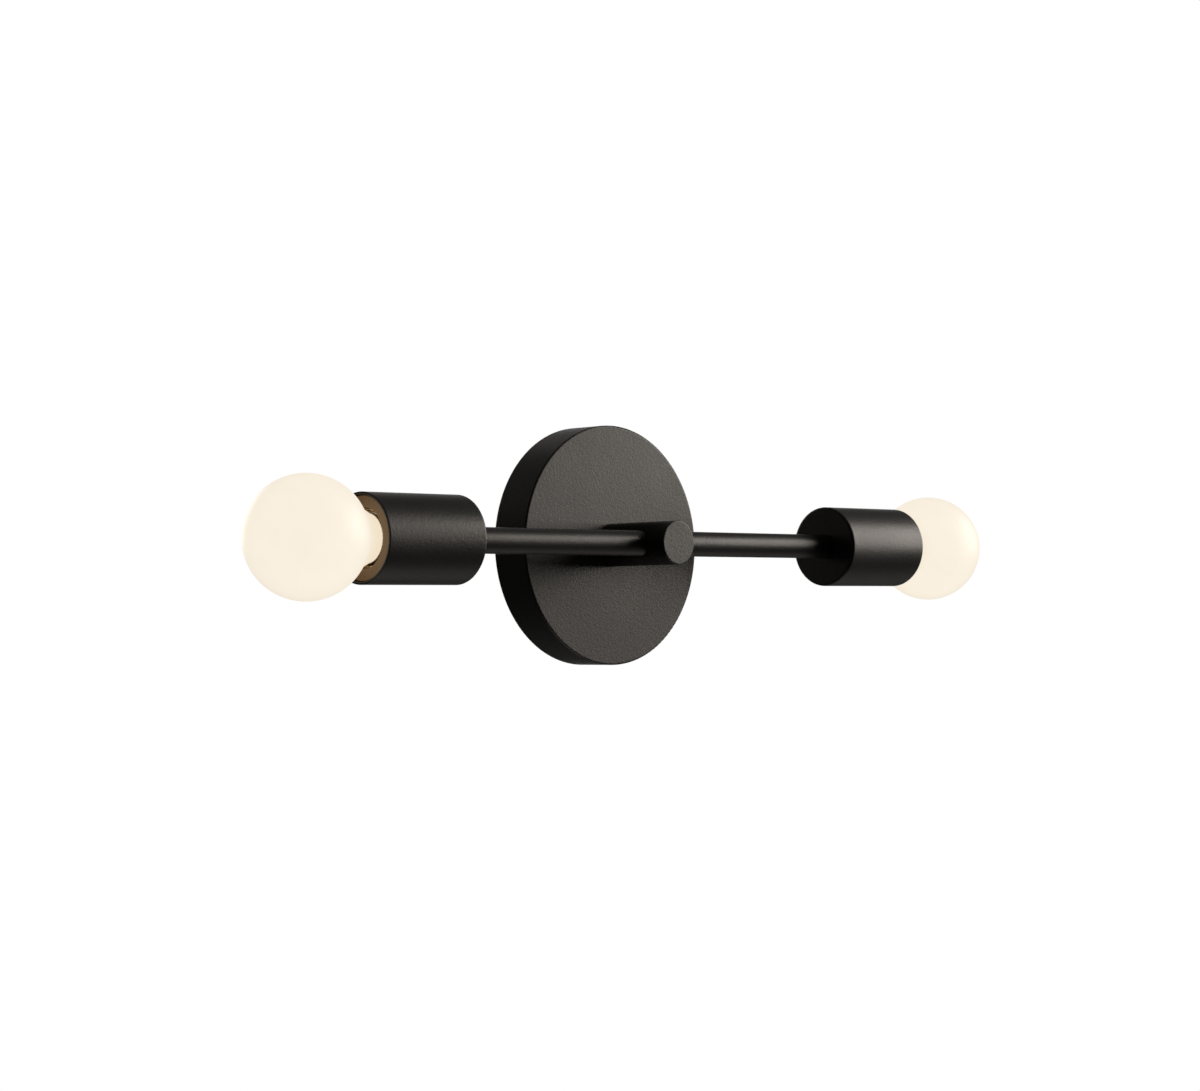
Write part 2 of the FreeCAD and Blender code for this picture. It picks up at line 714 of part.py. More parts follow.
def bulb_globe():
    """Hollow opal glass: a sphere that blends into a neck, and a narrower end inside the cap."""
    blend_height = neck_radius + neck_blend
    blend_reach = math.sqrt((globe_radius + neck_blend) ** 2 - blend_height ** 2)
    blend_centre = globe_place - blend_reach
    blend_angle = math.pi - math.atan2(blend_height, blend_reach)
    inner_sphere = globe_radius - globe_glass
    inner_neck = neck_radius - globe_glass
    in_cap = cap_core_radius - cap_sheet - cement_gap
    glass_end = cap_end - glass_in_cap
    shoulder_inside = neck_shoulder + globe_glass

    def blend_arc(radius):
        points = []
        low = -math.pi / 2
        high = blend_angle - math.pi
        for angle in (low, (low + high) / 2, high):
            points.append(arm_point(blend_centre + radius * math.cos(angle),
                                    blend_height + radius * math.sin(angle)))
        return Part.Arc(*points).toShape()

    outside = rounded_wire(
        [arm_point(glass_end, in_cap), arm_point(neck_shoulder, in_cap),
         arm_point(neck_shoulder, neck_radius), arm_point(blend_centre, neck_radius)],
        [0, 0, neck_shoulder_radius, 0], False)
    inside = rounded_wire(
        [arm_point(blend_centre, inner_neck), arm_point(shoulder_inside, inner_neck),
         arm_point(shoulder_inside, in_cap - globe_glass), arm_point(glass_end, in_cap - globe_glass)],
        [0, 0, 0, 0], False)
    edges = outside.Edges
    edges.append(blend_arc(neck_blend))
    edges.append(sphere_arc(globe_radius, blend_angle, 0))
    edges.append(Part.LineSegment(arm_point(globe_place + globe_radius, 0),
                                  arm_point(globe_place + inner_sphere, 0)).toShape())
    edges.append(sphere_arc(inner_sphere, 0, blend_angle))
    edges.append(blend_arc(neck_blend + globe_glass))
    edges.extend(inside.Edges)
    edges.append(Part.LineSegment(arm_point(glass_end, in_cap - globe_glass),
                                  arm_point(glass_end, in_cap)).toShape())
    face = Part.Face(Part.Wire(Part.__sortEdges__(edges)))
    return positive(face.revolve(Vector(0, arm_y, 0), Vector(1, 0, 0), 360))


def filament_ends():
    middle = globe_place
    return middle - filament_length / 2, middle + filament_length / 2


def bulb_glass_mount():
    """The glass foot that closes the neck, and the rod that carries the filaments."""
    foot_radius = cap_core_radius - cap_sheet - cement_gap - globe_glass - thread_gap
    foot = cap_end - glass_in_cap
    flare = foot + mount_flare_height
    top = filament_ends()[1]
    return turned_on_arm([
        (foot, 0), (foot, foot_radius), (foot + mount_foot_height, foot_radius),
        (flare, mount_shoulder_radius), (flare + mount_shoulder_height, mount_rod_radius),
        (top, mount_rod_radius), (top, 0),
    ])


def bulb_filaments():
    start, end = filament_ends()
    sticks = []
    for step in range(filament_count):
        angle = 2 * math.pi * (step + 0.5) / filament_count
        side = filament_circle * math.cos(angle)
        height = filament_circle * math.sin(angle)
        sticks.append(arm_rod(start, end, filament_radius, side, height))
    return sticks


def bulb_support_wires():
    """Two spiders, one at each end of the filaments; the lower one is threaded on the rod."""
    start, end = filament_ends()
    reach = filament_circle + filament_radius
    half = filament_wire / 2
    spiders = []
    for low, hub_hole in ((start - filament_wire, mount_rod_radius), (end, 0)):
        spider = arm_rod(low, low + filament_wire, mount_rod_radius + 2 * filament_wire)
        for step in range(filament_count):
            angle = 360 * (step + 0.5) / filament_count
            spoke = block(low, low + filament_wire, arm_y, arm_y + reach, -half, half)
            spoke.rotate(Vector(0, arm_y, 0), Vector(1, 0, 0), angle)
            spider = spider.fuse(spoke)
        if hub_hole:
            spider = spider.cut(arm_rod(low, low + filament_wire, hub_hole))
        spiders.append(whole(spider))
    return spiders


def bulb_driver():
    """The round circuit board in the cap, with a capacitor above it and a bridge below."""
    start = cap_start + driver_from_insulator + insulator_in_cap
    inside = cap_core_radius - cap_sheet - thread_gap
    board = arm_rod(start, start + driver_board, inside)
    top = cap_end - glass_in_cap - turning_gap
    radius = driver_capacitor_radius
    board = board.fuse(arm_rod(start + driver_board, top, radius, 0, radius))
    half = driver_bridge_width / 2
    bridge = block(start - driver_bridge_height, start, arm_y - half, arm_y + half, -half, half)
    return whole(board.fuse(bridge))


# ---- leads, ring tongue and connectors ----
def arm_lead_route(up):
    """From the connector in the canopy, through the stem and the right arm, to the socket's clamp."""
    x = lead_side
    z = up * lead_height
    end = up * lead_at_clamp
    s_bend = cup_pipe_end + 3.7
    return [
        Vector(x, canopy_inside + 10.8, up * 38.0),
        Vector(x, canopy_inside + 15.8, up * 9.0),
        Vector(x, canopy_inside + 10.8, z),
        Vector(x + 0.3, canopy_inside - 9.2, z + up * 0.2),
        Vector(x, arm_y - 1.7, z),
        Vector(32.0, arm_y - 0.5, z + up * 0.2),
        Vector(80.0, arm_y - 1.3, z + up * 0.1),
        Vector(arm_reach - 12.0, arm_y + 0.2, z),
        Vector(s_bend, arm_y, z),
        Vector(s_bend + 5.1, arm_y, end),
        Vector(socket_back - 1.0, arm_y, end),
    ]


def ring_direction():
    angle = math.radians(ring_angle)
    return Vector(math.cos(angle), 0, math.sin(angle))


def barrel_start():
    return ring_tongue_diameter / 2 + ring_tongue_width / 2


def barrel_height():
    return nut_back - ring_tongue_sheet / 2 + barrel_rise


def earth_route():
    """From the ring tongue's barrel to the earth connector."""
    out = ring_direction()
    height = barrel_height()
    return [
        out * (barrel_start() + 2.0) + Vector(0, height, 0),
        out * (barrel_start() + 12.0) + Vector(0, height, 0),
        Vector(22.5, height + 3.6, 20.0),
        Vector(22.0, canopy_inside + 9.8, 31.0),
    ]


def earth_ring_tongue():
    """A crimped ring tongue under the stem nut; its barrel clears the canopy's face."""
    ring = stem_rod(nut_back, ring_back, ring_tongue_diameter / 2)
    start = barrel_start()
    half = ring_tongue_width / 2
    tongue = block(pipe_radius + 1, start + 1, ring_back, nut_back, -half, half)
    neck = block(start, start + 1, ring_back, barrel_height(), -half / 2, half / 2)
    barrel = rod(Vector(start, barrel_height(), 0), Vector(1, 0, 0), barrel_radius, barrel_length)
    bore_start = Vector(start + 1, barrel_height(), 0)
    bore = rod(bore_start, Vector(1, 0, 0), lead_radius + thread_gap, barrel_length)
    arm_part = tongue.fuse(neck).fuse(barrel).cut(bore)
    arm_part.rotate(Vector(0, 0, 0), Vector(0, 1, 0), -ring_angle)
    ring = ring.fuse(arm_part)
    return whole(ring.cut(stem_rod(nut_back, ring_back, pipe_hole_radius)))


def connector(route_start, next_point, centre_x, bore_radius):
    """A twist-on connector over the first millimetres of a route."""
    inward = (route_start - next_point).normalize()
    mouth = route_start - inward * connector_grip
    mouth.x = centre_x
    inward = Vector(0, inward.y, inward.z).normalize()
    body = Part.makeCone(connector_mouth_radius, connector_tip_radius, connector_length)
    cap_edge = [edge for edge in body.Edges if edge.BoundBox.ZMin > connector_length - SMALL]
    body = body.makeFillet(connector_tip_round, cap_edge)
    groove_place = connector_mouth_radius + connector_rib_depth
    slope = connector_length / (connector_mouth_radius - connector_tip_radius)
    for step in range(connector_ribs):
        angle = 2 * math.pi * step / connector_ribs
        low = Vector(groove_place * math.cos(angle), groove_place * math.sin(angle), connector_rib_start)
        lean = Vector(-math.cos(angle), -math.sin(angle), slope)
        body = body.cut(rod(low, lean, 2 * connector_rib_depth, connector_length))
    body = body.cut(rod(Vector(0, 0, 0), Vector(0, 0, 1), bore_radius, connector_bore_depth))
    return place(whole(body), mouth, inward)


def wire_connectors():
    pair_bore = lead_side + lead_radius + connector_bore_gap
    single_bore = lead_radius + connector_bore_gap
    pieces = []
    for up in (1, -1):
        route = arm_lead_route(up)
        pieces.append(connector(route[0], route[1], 0.0, pair_bore))
    route = earth_route()
    pieces.append(connector(route[-1], route[-2], route[-1].x, single_bore))
    return pieces


# ---- build ----
os.makedirs("parts", exist_ok=True)

save("wall_bracket", wall_bracket())
save("ground_screw", ground_screw())
right_screw = side_screw()
save("right_side_screw", right_screw)
save("left_side_screw", mirrored(right_screw))
save("canopy", canopy())
save("stem", stem())
save("stem_pipe", stem_pipe())
save("stem_lock_washer", stem_lock_washer())
save("stem_nut", stem_nut())
save("earth_ring_tongue", earth_ring_tongue())
save("earth_lead", lead(earth_route()))
save("wire_connectors", *wire_connectors())

arm_pieces = {
    "arm": [arm()],
    "arm_pipe": [arm_pipe()],
    "cup": [cup()],
    "cup_pipe": [cup_pipe()],
    "cup_nut": [cup_nut()],
    "socket_strap": [socket_strap()],
    "strap_screws": strap_screws(),
    "socket_body": [socket_body()],
    "centre_contact": [centre_contact()],
    "screw_shell": [screw_shell()],
    "clamp_screws": clamp_screws(),
    "bulb_tip": [bulb_tip()],
    "bulb_insulator": [bulb_insulator()],
    "bulb_cap": [bulb_cap()],
    "bulb_globe": [bulb_globe()],
    "bulb_glass_mount": [bulb_glass_mount()],
    "bulb_filaments": bulb_filaments(),
    "bulb_support_wires": bulb_support_wires(),
    "bulb_driver": [bulb_driver()],
}
for piece_name, solids in arm_pieces.items():
    save("right_" + piece_name, *solids)
    save("left_" + piece_name, *[on_left(solid) for solid in solids])

for lead_name, up in (("live_lead", 1), ("neutral_lead", -1)):
    right_lead = lead(arm_lead_route(up))
    save("right_" + lead_name, right_lead)
    save("left_" + lead_name, mirrored(right_lead))

print("threads part after %.3f mm, %.0f degrees" % (thread_pitch * thread_turns, 360 * thread_turns))
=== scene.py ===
# %% [markdown]
# # A two-arm pipe wall light
#
# The light hangs on a wall: a round canopy, a short thick stem, a thin level tube to each side and a
# socket cup with an opal globe bulb at each tube's end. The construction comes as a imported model, so this
# notebook starts by loading it. What follows is about looks: camera, light, finishes, and the pieces that
# need finer meshes.

# %% Load the construction
import json
import math

import bpy
from mathutils import Matrix, Vector


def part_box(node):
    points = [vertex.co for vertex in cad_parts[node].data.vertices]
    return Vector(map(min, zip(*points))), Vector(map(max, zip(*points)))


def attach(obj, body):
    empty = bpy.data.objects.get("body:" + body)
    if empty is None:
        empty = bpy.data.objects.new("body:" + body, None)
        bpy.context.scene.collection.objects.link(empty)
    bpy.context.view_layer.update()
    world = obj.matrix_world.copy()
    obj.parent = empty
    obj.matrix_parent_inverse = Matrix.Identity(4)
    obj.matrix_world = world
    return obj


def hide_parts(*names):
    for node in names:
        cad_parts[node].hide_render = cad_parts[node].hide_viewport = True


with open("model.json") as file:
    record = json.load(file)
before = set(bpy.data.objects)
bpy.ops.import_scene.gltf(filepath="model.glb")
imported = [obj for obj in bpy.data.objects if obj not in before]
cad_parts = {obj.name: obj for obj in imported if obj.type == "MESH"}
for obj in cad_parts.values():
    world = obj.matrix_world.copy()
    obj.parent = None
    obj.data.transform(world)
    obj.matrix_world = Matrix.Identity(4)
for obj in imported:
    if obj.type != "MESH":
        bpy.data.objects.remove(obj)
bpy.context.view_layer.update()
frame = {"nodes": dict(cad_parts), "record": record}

# %% [markdown]
# ## Places
#
# All lengths are metres. The wall is the plane y = 0 and the room lies towards -Y. The places that later
# cells need are read from the boxes of the construction's pieces, so they follow it when it changes.

# %% Read the places of the main pieces
MM = 0.001
canopy_low, canopy_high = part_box("canopy")
cup_low, cup_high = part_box("right_cup")
globe_low, globe_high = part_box("right_bulb_globe")

canopy_radius = (canopy_high.x - canopy_low.x) / 2
arm_y = (cup_low.y + cup_high.y) / 2
cup_radius = (cup_high.z - cup_low.z) / 2
globe_radius = (globe_high.z - globe_low.z) / 2
globe_x = globe_high.x - globe_radius
print("canopy radius %.4f, arm y %.4f, cup radius %.4f, globe radius %.4f at x %.4f"
      % (canopy_radius, arm_y, cup_radius, globe_radius, globe_x))

# %% [markdown]
# ## Camera
#
# The photograph is a long-lens view from the left of the wall's normal and a touch below the light. A
# camera is best described by how it was set up: which way it looks, from how far, and how much it is
# rolled. Its axes are worked out from those angles, which avoids guessing Euler angles.

# %% Camera
camera_azimuth = math.radians(-44.515)
camera_elevation = math.radians(-1.641)
camera_roll = math.radians(-0.629)
camera_distance = 1.4194
aim_right = 9.351 * MM
aim_up = 0.338 * MM
camera_lens = 79.406
sensor_width = 36.0

camera_back = Vector((
    math.sin(camera_azimuth) * math.cos(camera_elevation),
    -math.cos(camera_azimuth) * math.cos(camera_elevation),
    math.sin(camera_elevation),
))
level_right = (-camera_back).cross(Vector((0, 0, 1))).normalized()
level_up = level_right.cross(-camera_back)
camera_right = level_right * math.cos(camera_roll) + level_up * math.sin(camera_roll)
camera_up = level_up * math.cos(camera_roll) - level_right * math.sin(camera_roll)

camera_data = bpy.data.cameras.new("camera")
camera_data.lens = camera_lens
camera_data.sensor_width = sensor_width
camera = bpy.data.objects.new("camera", camera_data)
bpy.context.scene.collection.objects.link(camera)
camera.rotation_mode = "QUATERNION"
camera.rotation_quaternion = Matrix((camera_right, camera_up, camera_back)).transposed().to_quaternion()
camera.location = camera_back * camera_distance + level_right * aim_right + level_up * aim_up
bpy.context.scene.camera = camera
print("camera at", [round(v, 4) for v in camera.location])

# %% [markdown]
# ## Light
#
# The tones in the photograph tell where its lamps stood. A dark satin surface shows mostly what it
# mirrors, so for each bright place the mirrored direction is worked out, and a lamp goes there. The
# canopy's face mirrors the room's right front at eye level and is medium bright. The tubes are brightest a
# little above their middle, and more so to the right, so there is one large soft box at the right front,
# whose near edge and lower edge stand about where the canopy's face looks. The tops of cups and rim mirror
# something fainter, high up behind the wall, and the undersides a glow from low on the right. Everything
# that mirrors the camera's own side stays nearly black. The rear box is for a look at the light's back.

# %% Soft boxes
warm_white = (1.0, 0.955, 0.91)


def towards(azimuth, elevation):
    """A direction from two angles in degrees. Azimuth 0 points from the wall into the room, 90 along +X."""
    turn = math.radians(azimuth)
    rise = math.radians(elevation)
    return Vector((math.sin(turn) * math.cos(rise), -math.cos(turn) * math.cos(rise), math.sin(rise)))


def soft_box(name, direction, distance, width, height, radiance):
    """A rectangular lamp that faces the light's middle. Its radiance is what a mirror would show of it."""
    data = bpy.data.lights.new(name, "AREA")
    data.shape = "RECTANGLE"
    data.size = width
    data.size_y = height
    data.energy = radiance * math.pi * width * height
    data.color = warm_white
    lamp = bpy.data.objects.new(name, data)
    lamp.location = direction * distance
    lamp.rotation_mode = "QUATERNION"
    lamp.rotation_quaternion = direction.to_track_quat("Z", "Y")
    lamp.visible_camera = False
    bpy.context.scene.collection.objects.link(lamp)
    print(name, "at", [round(v, 2) for v in lamp.location])


soft_box("front_box", towards(62.5, 15.3), distance=2.2, width=1.35, height=1.34, radiance=6.6)
soft_box("upper_box", towards(146.0, 40.0), distance=1.8, width=0.9, height=0.6, radiance=0.27)
soft_box("low_box", towards(95.0, -45.0), distance=2.0, width=1.4, height=1.0, radiance=0.24)
soft_box("rear_box", towards(176.0, 10.0), distance=1.3, width=0.5, height=0.5, radiance=5.0)

# %% [markdown]
# ## Node trees as formulas
#
# World, finishes and turned pieces are all node trees. Such a tree can be put together node by node and
# link by link, but that takes many lines and hides the sum that it works out. A few short helpers let it
# read like a formula: an input takes a value or another node's result, and one call is one step of
# arithmetic.

# %% Helpers for node trees


def feed(tree, socket, value):
    """Gives an input its value, or a link where the value is another node's socket."""
    if isinstance(value, bpy.types.NodeSocket):
        tree.links.new(value, socket)
    else:
        socket.default_value = value


def add(tree, kind, inputs=None, **settings):
    """Adds a node with its settings and its inputs."""
    made = tree.nodes.new(kind)
    for name, value in settings.items():
        setattr(made, name, value)
    for name, value in (inputs or {}).items():
        feed(tree, made.inputs[name], value)
    return made


def calculate(tree, operation, first, second=0.0, clamp=False):
    """One step of arithmetic, as the socket that holds its result."""
    made = add(tree, "ShaderNodeMath", {0: first, 1: second}, operation=operation, use_clamp=clamp)
    return made.outputs["Value"]


# %% [markdown]
# ## World and floor
#
# White paper hangs behind the light. The camera sees nothing else round it, so for camera rays the whole
# world is white. Mirrored and transmitted rays see the paper too, but only where it hangs: behind the
# light and a little higher, about as wide as the camera's view. Light Path tells the rays apart. So that
# white is seen and mirrored, but doesn't fall on the object as light. The rest is a dim room, darkest at
# the left and at the front, where the camera stands, and a little lighter towards its ceiling.

# %% World
bpy.context.scene.view_settings.view_transform = "Standard"

white = (1.0, 1.0, 1.0, 1.0)
paper_lift = math.radians(3.5)
paper_middle = (camera_up * math.sin(paper_lift) - camera_back).normalized()
paper_inside = math.cos(math.radians(12.0))
paper_outside = math.cos(math.radians(21.0))
room_level = 0.044
room_slope = Vector((0.034, 0.018, 0.0))
room_upwards = 0.055

world = bpy.data.worlds.new("studio")
world.use_nodes = True
sky = world.node_tree
sky.nodes.clear()
sky_rays = add(sky, "ShaderNodeLightPath").outputs
sky_direction = add(sky, "ShaderNodeTexCoord").outputs["Generated"]
sky_ahead = add(sky, "ShaderNodeVectorMath", {0: sky_direction, 1: paper_middle}, operation="DOT_PRODUCT")
sky_paper = add(sky, "ShaderNodeMapRange",
                {"Value": sky_ahead.outputs["Value"], "From Min": paper_outside, "From Max": paper_inside},
                interpolation_type="SMOOTHSTEP")
sky_height = add(sky, "ShaderNodeSeparateXYZ", {0: sky_direction}).outputs["Z"]
sky_rise = calculate(sky, "MULTIPLY", calculate(sky, "MAXIMUM", sky_height, 0.0), room_upwards)
sky_side = add(sky, "ShaderNodeVectorMath", {0: sky_direction, 1: room_slope}, operation="DOT_PRODUCT")
sky_room = calculate(sky, "ADD", calculate(sky, "ADD", sky_rise, sky_side.outputs["Value"]), room_level)
sky_mirrored = calculate(sky, "ADD", sky_rays["Is Glossy Ray"], sky_rays["Is Transmission Ray"], clamp=True)
sky_shown = calculate(sky, "MULTIPLY", sky_mirrored, sky_paper.outputs["Result"])
sky_white = calculate(sky, "MAXIMUM", sky_rays["Is Camera Ray"], sky_shown)
sky_strength = add(sky, "ShaderNodeMix", {"Factor": sky_white, "A": sky_room, "B": 1.0}, data_type="FLOAT")
sky_light = add(sky, "ShaderNodeBackground", {"Color": white, "Strength": sky_strength.outputs["Result"]})
add(sky, "ShaderNodeOutputWorld", {"Surface": sky_light.outputs["Background"]})
bpy.context.scene.world = world
print("world:", len(sky.nodes), "nodes")

# %% [markdown]
# The floor lies well below the light. Its paint is pale, and it is mixed with the paper's white where the
# camera, a mirror or glass shows it, so that it melts into the background but keeps part of the light's
# soft shadow. A shadow catcher would need a compositor; this mix needs none.

# %% Floor
floor_drop = 1.1
floor_width = 0.9
floor_shadow = 0.15
floor_grey = (0.8, 0.8, 0.8, 1.0)

half = floor_width / 2
floor_corners = [(-half, -half, -floor_drop), (half, -half, -floor_drop), (half, half, -floor_drop),
                 (-half, half, -floor_drop)]
floor_mesh = bpy.data.meshes.new("floor")
floor_mesh.from_pydata(floor_corners, [], [(0, 1, 2, 3)])
floor = bpy.data.objects.new("floor", floor_mesh)
bpy.context.scene.collection.objects.link(floor)

floor_paint = bpy.data.materials.new("floor_paint")
floor_paint.use_nodes = True
paint = floor_paint.node_tree
paint.nodes.clear()
paint_rays = add(paint, "ShaderNodeLightPath").outputs
paint_mirrored = calculate(paint, "ADD", paint_rays["Is Glossy Ray"], paint_rays["Is Transmission Ray"])
paint_seen = calculate(paint, "ADD", paint_rays["Is Camera Ray"], paint_mirrored, clamp=True)
paint_share = calculate(paint, "MULTIPLY", paint_seen, 1.0 - floor_shadow)
paint_matt = add(paint, "ShaderNodeBsdfDiffuse", {"Color": floor_grey})
paint_white = add(paint, "ShaderNodeEmission", {"Color": white, "Strength": 1.0})
paint_mix = add(paint, "ShaderNodeMixShader",
                {0: paint_share, 1: paint_matt.outputs["BSDF"], 2: paint_white.outputs["Emission"]})
add(paint, "ShaderNodeOutputMaterial", {"Surface": paint_mix.outputs["Shader"]})
floor_mesh.materials.append(floor_paint)
print("floor:", floor_width, "m wide,", floor_drop, "m below")

# %% [markdown]
# ## Shared effects
#
# Effects that several finishes use are node groups, each built once and placed in a material with its own
# values. A group puts out only what varies over the surface: a colour, a roughness, a height, a mask or a
# normal. The Principled shader stays in the material that uses it.

# %% Start of a group


def new_group(name, inputs, outputs):
    """An empty shader group with named inputs (kind, default) and outputs (kind)."""
    group = bpy.data.node_groups.new(name, "ShaderNodeTree")
    for label, (kind, default) in inputs.items():
        group.interface.new_socket(label, in_out="INPUT", socket_type=kind).default_value = default
    for label, kind in outputs.items():
        group.interface.new_socket(label, in_out="OUTPUT", socket_type=kind)
    return group, add(group, "NodeGroupInput").outputs, add(group, "NodeGroupOutput").inputs


# %% [markdown]
# Speckle: nothing that is sprayed, plated or moulded has one even tone. Close up it has a fine grain, and
# over a few centimetres it is cloudy. A picture of such a surface would need unwrapped pieces. Noise on
# Object coordinates needs none, and keeps its size in millimetres on every piece. The height is that of
# pebbles, from a Voronoi pattern with cells twice the grain's size, with the grain on top.

# %% Group: speckle
speckle, given, result = new_group(
    "speckle",
    {"Colour": ("NodeSocketColor", (0.5, 0.5, 0.5, 1.0)), "Colour Spread": ("NodeSocketFloat", 0.2),
     "Grain": ("NodeSocketFloat", 0.6 * MM), "Patch": ("NodeSocketFloat", 30 * MM),
     "Roughness": ("NodeSocketFloat", 0.5), "Roughness Spread": ("NodeSocketFloat", 0.1)},
    {"Colour": "NodeSocketColor", "Roughness": "NodeSocketFloat", "Height": "NodeSocketFloat"})
noise_middle = 0.5
pebble_density = 0.5

place = add(speckle, "ShaderNodeTexCoord").outputs["Object"]
grain_scale = calculate(speckle, "DIVIDE", 1.0, given["Grain"])
patch_scale = calculate(speckle, "DIVIDE", 1.0, given["Patch"])
pebble_scale = calculate(speckle, "DIVIDE", pebble_density, given["Grain"])
grain = add(speckle, "ShaderNodeTexNoise",
            {"Vector": place, "Scale": grain_scale, "Detail": 2.0, "Roughness": 0.6})
patch = add(speckle, "ShaderNodeTexNoise",
            {"Vector": place, "Scale": patch_scale, "Detail": 3.0, "Roughness": 0.55})
pebble = add(speckle, "ShaderNodeTexVoronoi", {"Vector": place, "Scale": pebble_scale, "Smoothness": 1.0},
             feature="SMOOTH_F1")
fine = calculate(speckle, "SUBTRACT", grain.outputs["Fac"], noise_middle)
uneven = calculate(speckle, "SUBTRACT", patch.outputs["Fac"], noise_middle)
swing = calculate(speckle, "ADD", uneven, fine)
tint = calculate(speckle, "ADD", calculate(speckle, "MULTIPLY", swing, given["Colour Spread"]), 1.0)
shade = add(speckle, "ShaderNodeVectorMath", {0: given["Colour"], "Scale": tint}, operation="SCALE")
dull = calculate(speckle, "MULTIPLY", swing, given["Roughness Spread"])
height = calculate(speckle, "ADD", pebble.outputs["Distance"], grain.outputs["Fac"])
feed(speckle, result["Colour"], shade.outputs["Vector"])
feed(speckle, result["Roughness"], calculate(speckle, "ADD", given["Roughness"], dull))
feed(speckle, result["Height"], height)
print("group:", speckle.name, len(speckle.nodes), "nodes")

# %% [markdown]
# Worn edges and edge highlight: a coat runs thin over an edge, and hands rub it. A mask could be painted by
# hand, but it would be lost when the construction changes. The Bevel node gives the normal that an edge
# would have if it were rounded, so wherever that normal differs from the face's own there is an edge. Noise
# breaks the mask up, as wear is never even. The black coat also lightens its colour by this mask, partly as
# a painted highlight along the edge. The rounded normal goes out as well, because it lets a sharp mesh catch
# the light as a real edge does.

# %% Group: worn edges and painted edge highlight
edge_wear_and_highlight, given, result = new_group(
    "edge_wear_and_highlight",
    {"Width": ("NodeSocketFloat", 0.6 * MM), "Breakup": ("NodeSocketFloat", 4 * MM)},
    {"Mask": "NodeSocketFloat", "Normal": "NodeSocketVector"})
edge_contrast = 6.0
wear_starts = 0.42
wear_full = 0.7

rounded = add(edge_wear_and_highlight, "ShaderNodeBevel", {"Radius": given["Width"]}, samples=6)
facing = add(edge_wear_and_highlight, "ShaderNodeNewGeometry")
alike = add(edge_wear_and_highlight, "ShaderNodeVectorMath",
            {0: rounded.outputs["Normal"], 1: facing.outputs["Normal"]}, operation="DOT_PRODUCT")
bend = calculate(edge_wear_and_highlight, "SUBTRACT", 1.0, alike.outputs["Value"])
edge = calculate(edge_wear_and_highlight, "MULTIPLY", bend, edge_contrast, clamp=True)
place = add(edge_wear_and_highlight, "ShaderNodeTexCoord").outputs["Object"]
chip_scale = calculate(edge_wear_and_highlight, "DIVIDE", 1.0, given["Breakup"])
chips = add(edge_wear_and_highlight, "ShaderNodeTexNoise", {"Vector": place, "Scale": chip_scale, "Detail": 3.0})
rubbed = add(edge_wear_and_highlight, "ShaderNodeMapRange",
             {"Value": chips.outputs["Fac"], "From Min": wear_starts, "From Max": wear_full})
feed(edge_wear_and_highlight, result["Mask"], calculate(edge_wear_and_highlight, "MULTIPLY", edge, rubbed.outputs["Result"]))
feed(edge_wear_and_highlight, result["Normal"], rounded.outputs["Normal"])
print("group:", edge_wear_and_highlight.name, len(edge_wear_and_highlight.nodes), "nodes")

# %% [markdown]
# Settled dust: it lies in drifts on what faces up. How far a surface faces up is the Z of its normal, and
# noise with much fine detail makes the drifts.

# %% Group: settled dust
dust, given, result = new_group(
    "settled_dust",
    {"Amount": ("NodeSocketFloat", 0.2), "Patch": ("NodeSocketFloat", 12 * MM)},
    {"Mask": "NodeSocketFloat"})
dust_slides_off = 0.3

where = add(dust, "ShaderNodeTexCoord").outputs
up = add(dust, "ShaderNodeSeparateXYZ", {0: where["Normal"]}).outputs["Z"]
upward = add(dust, "ShaderNodeMapRange", {"Value": up, "From Min": dust_slides_off, "From Max": 1.0})
drift_scale = calculate(dust, "DIVIDE", 1.0, given["Patch"])
drift = add(dust, "ShaderNodeTexNoise",
            {"Vector": where["Object"], "Scale": drift_scale, "Detail": 6.0, "Roughness": 0.7})
lying = calculate(dust, "MULTIPLY", upward.outputs["Result"], drift.outputs["Fac"])
feed(dust, result["Mask"], calculate(dust, "MULTIPLY", lying, given["Amount"]))
print("group:", dust.name, len(dust.nodes), "nodes")

# %% [markdown]
# ## Finishes
#
# Each finish is a short function that starts from the same few nodes. What is one value all over the
# surface is set on the shader's socket; what varies comes from the groups. The finished materials are kept
# by name.

# %% Common start of a finish
finishes = {}


def new_finish(name):
    """Starts a material with a Principled shader and keeps it among the finishes."""
    material = bpy.data.materials.new(name)
    material.use_nodes = True
    tree = material.node_tree
    tree.nodes.clear()
    shader = add(tree, "ShaderNodeBsdfPrincipled")
    add(tree, "ShaderNodeOutputMaterial", {"Surface": shader.outputs["BSDF"]})
    finishes[name] = material
    print("finish:", name)
    return tree, shader


def use_group(tree, group, **inputs):
    """Places a group with its own values and returns its outputs."""
    made = add(tree, "ShaderNodeGroup", node_tree=group)
    for name, value in inputs.items():
        feed(tree, made.inputs[name.replace("_", " ")], value)
    return made.outputs


def set_sockets(shader, **values):
    """Sets what is one value all over the surface."""
    for name, value in values.items():
        shader.inputs[name.replace("_", " ")].default_value = value


def blend_colour(tree, mask, first, second):
    """Goes from one colour to another as the mask goes from 0 to 1."""
    made = add(tree, "ShaderNodeMix", {"Factor": mask}, data_type="RGBA")
    colour_inputs = [socket for socket in made.inputs if socket.type == "RGBA"]
    for socket, value in zip(colour_inputs, (first, second)):
        feed(tree, socket, value)
    return next(socket for socket in made.outputs if socket.type == "RGBA")


def bump(tree, shader, height, depth, normal=None):
    """Makes light fall as if the surface rose and sank by the height times the depth."""
    relief = add(tree, "ShaderNodeBump", {"Height": height, "Distance": depth, "Strength": 1.0})
    if normal:
        feed(tree, relief.inputs["Normal"], normal)
    feed(tree, shader.inputs["Normal"], relief.outputs["Normal"])
